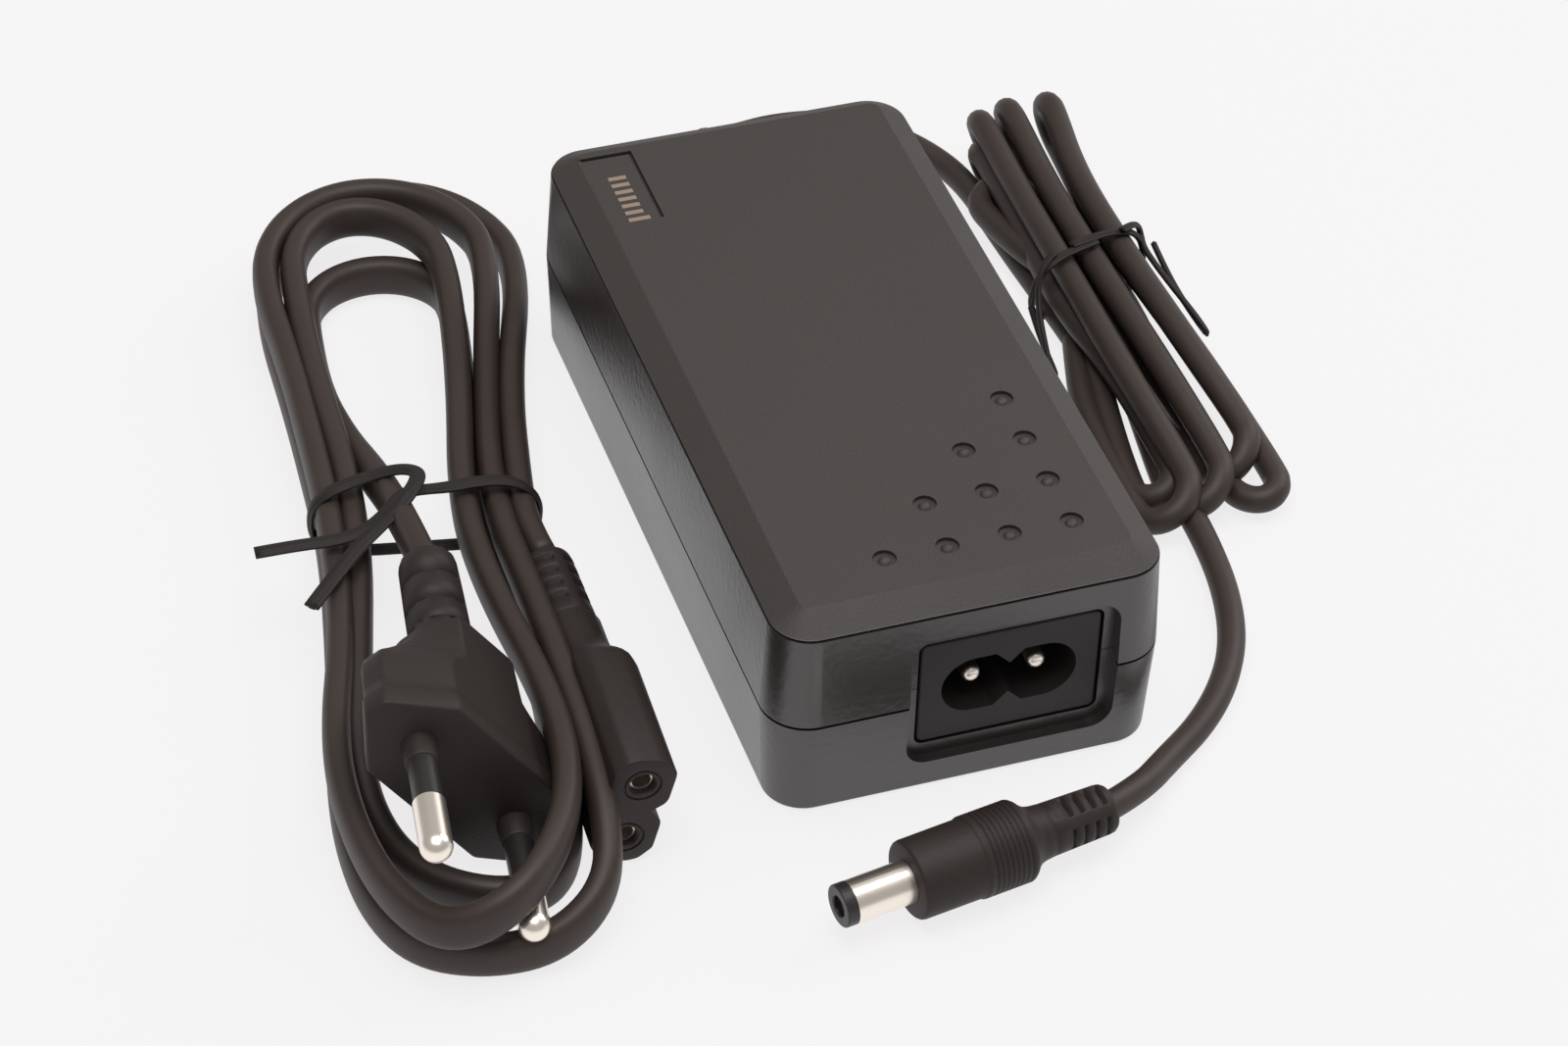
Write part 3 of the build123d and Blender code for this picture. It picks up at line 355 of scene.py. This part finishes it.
NODE_FINISHES = {
    SHELL: ("bottom_shell", "top_shell"),
    INLET: ("inlet_housing",),
    NICKEL: ("inlet_pins", "dc_plug_sleeve", "dc_plug_contact", "mains_plug_pins", "connector_contacts"),
    TIP: ("dc_plug_tip_ring", "mains_plug_sleeves"),
    BAR: ("light_pipe",),
    CARD: ("circuit_board",),
    FISHPAPER: ("insulation_sheet",),
    FERRITE: ("filter_choke_core", "transformer_core"),
    TAPE: ("transformer_winding",),
    COPPER: ("filter_choke_windings", "output_choke"),
    ALUMINIUM: ("primary_heatsink", "secondary_heatsink"),
    EPOXY: ("bridge_rectifier", "switching_transistor", "output_rectifier", "controller_chip"),
    GREY: ("x_capacitor", "optocoupler"),
    BLUE: ("y_capacitor",),
    SLEEVE: ("bulk_capacitor", "output_capacitors"),
    CERAMIC: ("fuse",),
    LENS: ("indicator_led",),
    WIRE: ("inlet_wires", "output_wires"),
}
for finish, names in NODE_FINISHES.items():
    for name in names:
        slots = NODES[name].data.materials
        slots.clear()
        slots.append(finish)


# ---------------------------------------------------------------- leads
def spline_object(name, points):
    """A smooth line through a lead's route, as a curve with no thickness yet."""
    data = bpy.data.curves.new(name, "CURVE")
    data.dimensions = "3D"
    data.resolution_u = 8
    spline = data.splines.new("NURBS")
    spline.points.add(len(points) - 1)
    for point, place in zip(spline.points, points):
        point.co = (*place, 1)
    spline.order_u = 3
    spline.use_endpoint_u = True
    return link(bpy.data.objects.new(name, data))


def line_points(curve):
    """The points that a curve with no thickness runs through."""
    mesh = bpy.data.meshes.new_from_object(curve.evaluated_get(bpy.context.evaluated_depsgraph_get()))
    points = [v.co.copy() for v in mesh.vertices]
    bpy.data.meshes.remove(mesh)
    return points


def line_length(points):
    """The length of a line of points."""
    return sum((b - a).length for a, b in zip(points, points[1:]))


def mesh_object(name, bm, body, finish):
    """Turn a bmesh into a piece that rides on a body."""
    bmesh.ops.recalc_face_normals(bm, faces=bm.faces)
    mesh = bpy.data.meshes.new(name)
    bm.to_mesh(mesh)
    bm.free()
    mesh.materials.append(finish)
    piece = link(bpy.data.objects.new(name, mesh))
    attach(piece, body)
    return piece


def stitch(bm, rings, ends=True):
    """Skin a row of rings of equal size, with a face across each end if asked."""
    rows = [[bm.verts.new(p) for p in ring] for ring in rings]
    count = len(rows[0])
    for a, b in zip(rows, rows[1:]):
        for i in range(count):
            j = (i + 1) % count
            bm.faces.new((a[i], a[j], b[j], b[i]))
    if ends:
        bm.faces.new(rows[0])
        bm.faces.new(rows[-1])
    return rows


def smooth_below(bm, degrees):
    """Shade every face smooth but keep the edges sharper than this angle."""
    for face in bm.faces:
        face.smooth = True
    for edge in bm.edges:
        edge.smooth = len(edge.link_faces) == 2 and edge.calc_face_angle(0) < math.radians(degrees)


def swept(points, section, ups):
    """A bmesh of a section carried along a line of points, its second axis kept towards ups."""
    bm = bmesh.new()
    rings = []
    for i, place in enumerate(points):
        tangent = (points[min(i + 1, len(points) - 1)] - points[max(i - 1, 0)]).normalized()
        side = tangent.cross(ups[i]).normalized()
        up = side.cross(tangent)
        rings.append([place + side * a + up * b for a, b in section])
    stitch(bm, rings)
    return bm


def oval(width, height, count=24, squareness=2.6):
    """A rounded flat section: a superellipse."""
    section = []
    for i in range(count):
        angle = 2 * math.pi * i / count
        c, s = math.cos(angle), math.sin(angle)
        section.append((width / 2 * math.copysign(abs(c) ** (2 / squareness), c),
                        height / 2 * math.copysign(abs(s) ** (2 / squareness), s)))
    return section


DC_CORD = spline_object("dc_cord", DC_LINE)
DC_LENGTH = line_length(line_points(DC_CORD))
DC_CORD.data.bevel_depth = DC_CORD_D / 2
DC_CORD.data.bevel_resolution = 5
DC_CORD.data.use_fill_caps = True
DC_CORD.data.materials.append(JACKET)
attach(DC_CORD, "adapter")
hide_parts("dc_lead_start", "dc_hank", "dc_lead_end")

MAINS_ROUTE = spline_object("mains_route", MAINS_LINE)
MAINS_POINTS = line_points(MAINS_ROUTE)
bpy.data.objects.remove(MAINS_ROUTE)
mains_mesh = swept(MAINS_POINTS, oval(MAINS_CORD_THICKNESS, MAINS_CORD_WIDTH), [UP] * len(MAINS_POINTS))
smooth_below(mains_mesh, 50)
MAINS_CORD = mesh_object("mains_cord", mains_mesh, "mains_lead", JACKET)
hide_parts("mains_hank", "mains_cord_to_plug", "mains_cord_to_connector")


# ---------------------------------------------------------------- moulded plugs and strain reliefs
def station(origin, axis, across):
    """A place to build from: its origin, its axis and two directions square to the axis."""
    axis = Vector(axis).normalized()
    across = Vector(across)
    across = (across - axis * across.dot(axis)).normalized()
    return Vector(origin), axis, across, axis.cross(across)


def at(where, along, a=0.0, b=0.0):
    """A point given in millimetres along and across a station."""
    origin, axis, across, third = where
    return (origin + axis * along + across * a + third * b) * MM


def round_ring(where, along, radius, count=72, shift=(0.0, 0.0)):
    """A ring of points round a station's axis, or round a line beside it."""
    turns = [2 * math.pi * i / count for i in range(count)]
    return [at(where, along, shift[0] + radius * math.cos(t), shift[1] + radius * math.sin(t)) for t in turns]


def radius_at(profile, along):
    """The radius of a turned profile at a distance along it."""
    for (d0, r0), (d1, r1) in zip(profile, profile[1:]):
        if d0 <= along <= d1:
            return r0 + (r1 - r0) * (along - d0) / max(d1 - d0, 1e-9)
    return profile[-1][1]


def slotted(bm, where, profile, slots, width, depth, sectors=4, half_angle=31.0, turn=45.0):
    """A turned strain relief with short slots sunk across it in each sector."""
    lip = 0.06
    ramp, ramp_share = 1.5, 0.8
    floor_inset, floor_steps = 8, 3
    land_steps = 5
    edges = {along: 0.0 for along, _ in profile}
    for slot in slots:
        for offset, sunk in ((-width / 2, 0), (-width / 2 + lip, 1), (0, 1), (width / 2 - lip, 1), (width / 2, 0)):
            edges[slot + offset] = sunk
    turns = []
    sweep = 360.0 / sectors
    for sector in range(sectors):
        middle = turn + sector * sweep
        turns += [(middle - half_angle, 0.0), (middle - half_angle + ramp, ramp_share)]
        turns += [(middle + step * (half_angle - floor_inset) / floor_steps, 1.0)
                  for step in range(-floor_steps, floor_steps + 1)]
        turns += [(middle + half_angle - ramp, ramp_share), (middle + half_angle, 0.0)]
        gap = sweep - 2 * half_angle
        turns += [(middle + half_angle + gap * step / land_steps, 0.0) for step in range(1, land_steps)]
    rings = []
    for along in sorted(edges):
        radius = radius_at(profile, along)
        ring = []
        for degrees, share in turns:
            r = radius - depth * edges[along] * share
            angle = math.radians(degrees)
            ring.append(at(where, along, r * math.cos(angle), r * math.sin(angle)))
        rings.append(ring)
    stitch(bm, rings)


def turned(bm, where, profile, count=72):
    """A turned shape closed at both ends."""
    stitch(bm, [round_ring(where, along, radius, count) for along, radius in profile])


def rounded(corners, cut, steps=4):
    """A closed outline with every corner eased by a short curve."""
    outline = []
    for before, corner, after in zip(corners[-1:] + corners[:-1], corners, corners[1:] + corners[:1]):
        v, a, b = Vector(corner), Vector(before), Vector(after)
        start = v + (a - v).normalized() * min(cut, (a - v).length * 0.45)
        end = v + (b - v).normalized() * min(cut, (b - v).length * 0.45)
        for step in range(steps + 1):
            t = step / steps
            outline.append(start * (1 - t) ** 2 + v * 2 * t * (1 - t) + end * t ** 2)
    return outline


def towards_circle(outline, radius, share):
    """An outline drawn part of the way to a circle, each point on its own ray."""
    return [point * (1 - share) + point.normalized() * radius * share for point in outline]


def lay_ring(where, along, outline):
    """An outline laid across a station."""
    return [at(where, along, point.x, point.y) for point in outline]


def fill_with_holes(bm, outer, holes):
    """Fill an end face round the mouths of its holes."""
    edges = []
    for loop in (outer, *holes):
        for a, b in zip(loop, loop[1:] + loop[:1]):
            edges.append(bm.edges.get((a, b)) or bm.edges.new((a, b)))
    bmesh.ops.triangle_fill(bm, use_beauty=True, edges=edges)


# Barrel plug
DC_HEADING = math.radians(9.5)
DC_PLUG = station((-24.65, -72.8, 5.35), (math.cos(DC_HEADING), math.sin(DC_HEADING), 0), (0, 0, 1))
DC_RINGS = [(24.6 - 0.7 * i + step, 5.3 - sunk) for i in range(8, 0, -1)
            for step, sunk in ((0.0, 0.0), (0.08, 0.22), (0.26, 0.22), (0.36, 0.0))]
grip = bmesh.new()
turned(grip, DC_PLUG, [(9.5, 2.78), (9.5, 4.62), (9.58, 4.84), (9.78, 5.0), (10.15, 5.07), (17.95, 5.09),
                       (18.05, 5.12), (18.2, 5.28), (18.4, 5.3), *DC_RINGS, (24.6, 5.3), (24.85, 5.22),
                       (25.15, 5.0), (25.6, 4.5), (26.1, 4.05), (26.7, 3.7), (27.5, 3.5), (28.6, 3.4),
                       (28.9, 2.0)], 96)
smooth_below(grip, 35)
DC_GRIP = mesh_object("dc_plug_grip_moulding", grip, "adapter", PLUG)
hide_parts("dc_plug_grip")
relief = bmesh.new()
slotted(relief, DC_PLUG, [(28.3, 3.2), (28.4, 3.38), (36.6, 3.2), (37.2, 3.12), (37.6, 2.85), (37.8, 2.4)],
        (31.2, 32.85, 34.5, 36.1), 0.75, 1.0, turn=0.0)
smooth_below(relief, 35)
DC_RELIEF = mesh_object("dc_plug_relief", relief, "adapter", PLUG)

# Gland behind the brick
GLAND = station((4.0, 52.0, 14.4), (0, 1, 0), (1, 0, 0))
gland = bmesh.new()
turned(gland, GLAND, [(-8.0, 3.9), (-8.0, 5.3), (-6.0, 5.3), (-6.0, 3.9), (0.0, 3.9), (0.0, 4.3), (0.9, 4.4),
                      (1.2, 4.2), (1.25, 3.0)])
slotted(gland, GLAND, [(1.0, 3.6), (9.0, 2.7), (9.6, 2.55), (9.9, 2.2)], (2.9, 4.6, 6.3, 8.0), 0.8, 0.9, turn=0.0)
smooth_below(gland, 35)
GLAND_PIECE = mesh_object("cable_gland_boot", gland, "adapter", PLUG)
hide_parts("cable_gland")

# Flat mains plug, built back from its face
EUROPLUG = station((-63.96, -49.68, 15.1), (0.1431, 0.9896, -0.0106), (0.5955, -0.0946, -0.7978))
EUROPLUG_PIN_SIDE = 9.3


def plug_outline(point, flat, thick, tip, cut=0.5):
    """The plug's outline: a long hexagon with blunt ends."""
    corners = [(point, tip), (flat, thick), (-flat, thick), (-point, tip),
               (-point, -tip), (-flat, -thick), (flat, -thick), (point, -tip)]
    return rounded(corners, cut)


PLUG_SHOULDER = [(0.0, 17.6), (3.0, 17.6), (9.0, 17.2), (10.6, 16.6), (12.0, 15.1), (14.0, 13.1), (17.0, 10.4),
                 (20.0, 8.2), (21.6, 7.6)]


def plug_body_ring(back, shrink=0.0):
    """The plug's body at a distance behind its face: its shoulders close in towards the neck."""
    point = radius_at(PLUG_SHOULDER, back) - shrink
    return lay_ring(EUROPLUG, back, plug_outline(point, max(5.6, point - 7.3), 7.1 - 0.015 * back - shrink, 1.5))


def plug_neck_ring(back, share, radius):
    """The body drawn in towards the round neck."""
    return lay_ring(EUROPLUG, back, towards_circle(plug_outline(7.5, 5.5, 6.7, 1.5, 0.6), radius, share))


plug = bmesh.new()
stitch(plug, [plug_body_ring(0.0, 0.38), plug_body_ring(0.1, 0.14), plug_body_ring(0.4), plug_body_ring(2.9),
              plug_body_ring(3.0, 0.05), plug_body_ring(3.05, 0.35), plug_body_ring(5.0, 0.38)]
       + [plug_body_ring(back, 0.38) for back in (7.0, 9.0, 10.0, 10.6, 11.3, 12.0, 13.0, 14.0, 15.5, 17.0, 18.5,
                                                  20.0, 20.6, 21.0)]
       + [plug_neck_ring(21.4, 0.15, 5.6), plug_neck_ring(21.8, 0.5, 5.2), plug_neck_ring(22.3, 0.85, 4.6),
          plug_neck_ring(23.2, 1.0, 4.3), plug_neck_ring(25.0, 1.0, 4.05), plug_neck_ring(27.0, 1.0, 3.9),
          plug_neck_ring(27.5, 1.0, 3.0)])
for side in (-1, 1):
    shift = (side * EUROPLUG_PIN_SIDE, 0.0)
    stitch(plug, [round_ring(EUROPLUG, along, radius, 48, shift)
                  for along, radius in ((0.3, 2.25), (-0.1, 2.2), (-3.0, 2.05), (-3.25, 1.98), (-3.35, 1.85))])
smooth_below(plug, 28)
PLUG_BODY = mesh_object("mains_plug_moulding", plug, "mains_lead", PLUG)
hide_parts("mains_plug_body")
neck = bmesh.new()
slotted(neck, EUROPLUG, [(26.5, 3.8), (26.6, 4.0), (33.0, 3.9), (39.2, 3.75), (40.1, 3.6), (40.7, 3.15),
                        (41.0, 2.4)],
        (30.4, 35.5), 0.8, 1.3, sectors=2, half_angle=80.0, turn=24.0)
smooth_below(neck, 35)
PLUG_NECK = mesh_object("mains_plug_neck", neck, "mains_lead", PLUG)

# Figure-eight connector, built back from its face
CONNECTOR = station((-44.27, -53.6, 8.7), (0.05, 1, 0), (0.25, -0.0125, 0.968))
BORE_SIDE = 4.3


def connector_outline(shrink=0.0):
    """Two joined lobes with blunt corners and a notch between them on each side."""
    half = [(0.0, 2.35), (1.75, 4.0), (2.4, 4.1), (6.1, 4.1), (7.9, 2.7), (8.4, 1.3)]
    quarter = [(max(x - shrink, 0.0), y - shrink) for x, y in half]
    right = quarter + [(x, -y) for x, y in reversed(quarter)]
    lower_left = [(-x, -y) for x, y in quarter[1:]]
    upper_left = [(-x, y) for x, y in reversed(quarter[1:])]
    return rounded(right + lower_left + upper_left, 0.45, 3)


def connector_ring(back, share, radius, shrink=0.0):
    """The connector's section behind its face, drawn towards its round relief."""
    return lay_ring(CONNECTOR, back, towards_circle(connector_outline(shrink), radius, share))


body = bmesh.new()
rows = stitch(body, [connector_ring(0.0, 0.0, 4.0, 0.3), connector_ring(0.12, 0.0, 4.0, 0.1),
                     connector_ring(0.4, 0.0, 4.0), connector_ring(19.5, 0.0, 4.0),
                     connector_ring(20.6, 0.06, 4.1), connector_ring(21.8, 0.2, 4.1),
                     connector_ring(23.5, 0.5, 4.15), connector_ring(25.2, 0.78, 4.2),
                     connector_ring(27.0, 0.94, 4.2), connector_ring(29.0, 1.0, 4.15),
                     connector_ring(32.8, 1.0, 4.1), connector_ring(33.2, 1.0, 3.95),
                     connector_ring(33.4, 1.0, 3.2)], ends=False)
body.faces.new(rows[-1])
mouths = []
for side in (-1, 1):
    shift = (side * BORE_SIDE, 0.0)
    bore = stitch(body, [round_ring(CONNECTOR, along, radius, 40, shift)
                         for along, radius in ((0.0, 2.45), (0.22, 2.4), (0.22, 2.2), (0.05, 2.1), (0.05, 1.75),
                                               (0.25, 1.6), (11.0, 1.55))], ends=False)
    body.faces.new(bore[-1])
    mouths.append(bore[0])
fill_with_holes(body, rows[0], mouths)
smooth_below(body, 30)
CONNECTOR_BODY = mesh_object("connector_moulding", body, "mains_lead", PLUG)
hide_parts("connector_body")
relief = bmesh.new()
slotted(relief, CONNECTOR, [(32.6, 3.6), (32.7, 3.85), (44.8, 3.45), (45.8, 3.3), (46.3, 2.95), (46.5, 2.3)],
        (36.3, 38.9, 41.4, 43.9), 1.15, 1.8, half_angle=33.0, turn=-38.0)
smooth_below(relief, 35)
mesh_object("connector_relief", relief, "mains_lead", PLUG)


# ---------------------------------------------------------------- wire ties
TIE_SECTION = [(-0.95, -0.18), (-0.5, -0.22), (-0.34, -0.42), (0.34, -0.42), (0.5, -0.22), (0.95, -0.18),
               (0.95, 0.18), (0.5, 0.22), (0.34, 0.42), (-0.34, 0.42), (-0.5, 0.22), (-0.95, 0.18)]


def ribbon(name, stops, body, replaced, width=1.0):
    """A plastic-covered wire laid along stops, each a point in millimetres and the way its flat side faces."""
    lift = 2
    line = [tuple(c * MM for c in place) for place, _ in stops]
    raised = [tuple((c + lift * u) * MM for c, u in zip(place, up)) for place, up in stops]
    middle_line, raised_line = spline_object(name + "_line", line), spline_object(name + "_raised", raised)
    points, tops = line_points(middle_line), line_points(raised_line)
    bpy.data.objects.remove(middle_line)
    bpy.data.objects.remove(raised_line)
    section = [(p.x * width * MM, p.y * MM) for p in rounded(TIE_SECTION, 0.1, 2)]
    bm = swept(points, section, [(top - point).normalized() for point, top in zip(points, tops)])
    smooth_below(bm, 60)
    piece = mesh_object(name, bm, body, DARK_RUBBER)
    if replaced:
        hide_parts(replaced)


OVER, UNDER, LEFT, RIGHT = (0, 0, 1), (0, 0, -1), (-1, 0, 0), (1, 0, 0)
ribbon("mains_tie_wire", [
    ((-77.9, 1.1, 12.5), OVER), ((-72.8, 0.7, 12.8), OVER), ((-67.6, -0.1, 13.0), OVER),
    ((-63.6, 0.0, 13.6), OVER), ((-60.2, 1.0, 15.3), OVER), ((-58.0, 2.8, 16.2), OVER),
    ((-55.6, 4.0, 15.2), OVER), ((-51.5, 5.5, 13.3), OVER), ((-47.0, 5.9, 13.0), OVER),
    ((-43.3, 5.5, 12.6), (0.3, 0, 0.95)), ((-40.6, 4.6, 11.3), (0.7, 0, 0.7)), ((-39.2, 4.4, 8.6), RIGHT),
    ((-39.4, 5.6, 3.6), RIGHT), ((-41.6, 7.0, 0.45), UNDER), ((-53.0, 9.2, 0.45), UNDER),
    ((-64.4, 11.4, 0.45), UNDER), ((-68.0, 12.0, 3.0), LEFT), ((-68.5, 11.2, 7.0), LEFT),
    ((-68.2, 10.2, 10.6), (-0.7, 0, 0.7)), ((-66.0, 9.9, 12.6), OVER), ((-62.4, 10.2, 13.3), OVER),
    ((-59.0, 9.6, 14.4), OVER), ((-56.6, 8.4, 15.4), OVER), ((-55.2, 6.8, 16.0), OVER),
    ((-55.3, 4.8, 16.6), OVER), ((-57.0, 2.2, 16.8), OVER), ((-59.4, 0.4, 15.8), OVER),
    ((-62.6, -1.0, 14.2), OVER), ((-65.6, -2.8, 13.4), OVER), ((-69.6, -6.6, 12.7), OVER),
    ((-73.4, -10.4, 12.1), OVER),
], "mains_lead", "mains_tie", 1.1)
ribbon("dc_tie_band", [
    ((49.4, 31.8, 11.9), OVER), ((46.4, 30.9, 12.0), OVER), ((43.6, 30.0, 12.0), OVER),
    ((41.0, 29.0, 11.3), (-0.6, 0, 0.8)), ((39.4, 29.2, 8.6), LEFT), ((39.2, 30.0, 4.0), LEFT),
    ((41.4, 31.0, 0.4), UNDER), ((48.0, 32.0, 0.35), UNDER), ((55.6, 33.2, 0.4), UNDER),
    ((57.7, 33.6, 3.6), RIGHT), ((57.4, 33.6, 8.2), RIGHT), ((55.6, 33.2, 11.2), (0.6, 0, 0.8)),
    ((52.6, 33.0, 12.0), OVER), ((49.4, 32.4, 12.3), OVER), ((45.4, 31.2, 12.5), OVER),
], "adapter", "dc_tie", 0.7)
ribbon("dc_tie_right_tail", [
    ((53.4, 32.4, 12.5), OVER), ((55.4, 33.6, 12.3), OVER), ((57.2, 35.2, 10.4), (0.7, 0, 0.7)),
    ((57.6, 34.8, 8.6), RIGHT), ((56.9, 32.0, 8.8), (0.8, 0, 0.6)), ((57.4, 28.4, 8.2), (0.8, 0, 0.6)),
    ((58.2, 24.4, 7.4), (0.8, 0, 0.6)), ((59.0, 20.4, 6.8), (0.8, 0, 0.6)), ((59.6, 17.2, 6.2), (0.8, 0, 0.6)),
    ((59.9, 15.6, 5.6), RIGHT), ((60.2, 16.6, 4.8), (0.9, 0, 0.3)), ((59.9, 20.4, 5.0), (0.9, 0, 0.3)),
    ((59.6, 25.4, 5.4), (0.9, 0, 0.3)), ((59.6, 30.4, 6.0), (0.9, 0, 0.3)), ((59.4, 34.4, 7.4), (0.9, 0, 0.3)),
], "adapter", None, 0.6)
ribbon("dc_tie_left_tail", [
    ((42.4, 30.2, 12.6), OVER), ((40.6, 29.4, 11.6), (-0.6, 0, 0.8)), ((39.2, 27.8, 9.4), LEFT),
    ((38.4, 24.6, 6.8), LEFT), ((37.6, 20.4, 5.6), LEFT), ((36.9, 16.8, 5.0), LEFT),
    ((36.8, 15.0, 4.6), LEFT), ((37.2, 14.6, 4.0), LEFT), ((37.6, 16.4, 3.6), LEFT),
    ((38.0, 20.4, 3.6), LEFT), ((38.6, 25.4, 3.8), LEFT), ((39.0, 29.0, 4.6), LEFT),
], "adapter", None, 0.6)
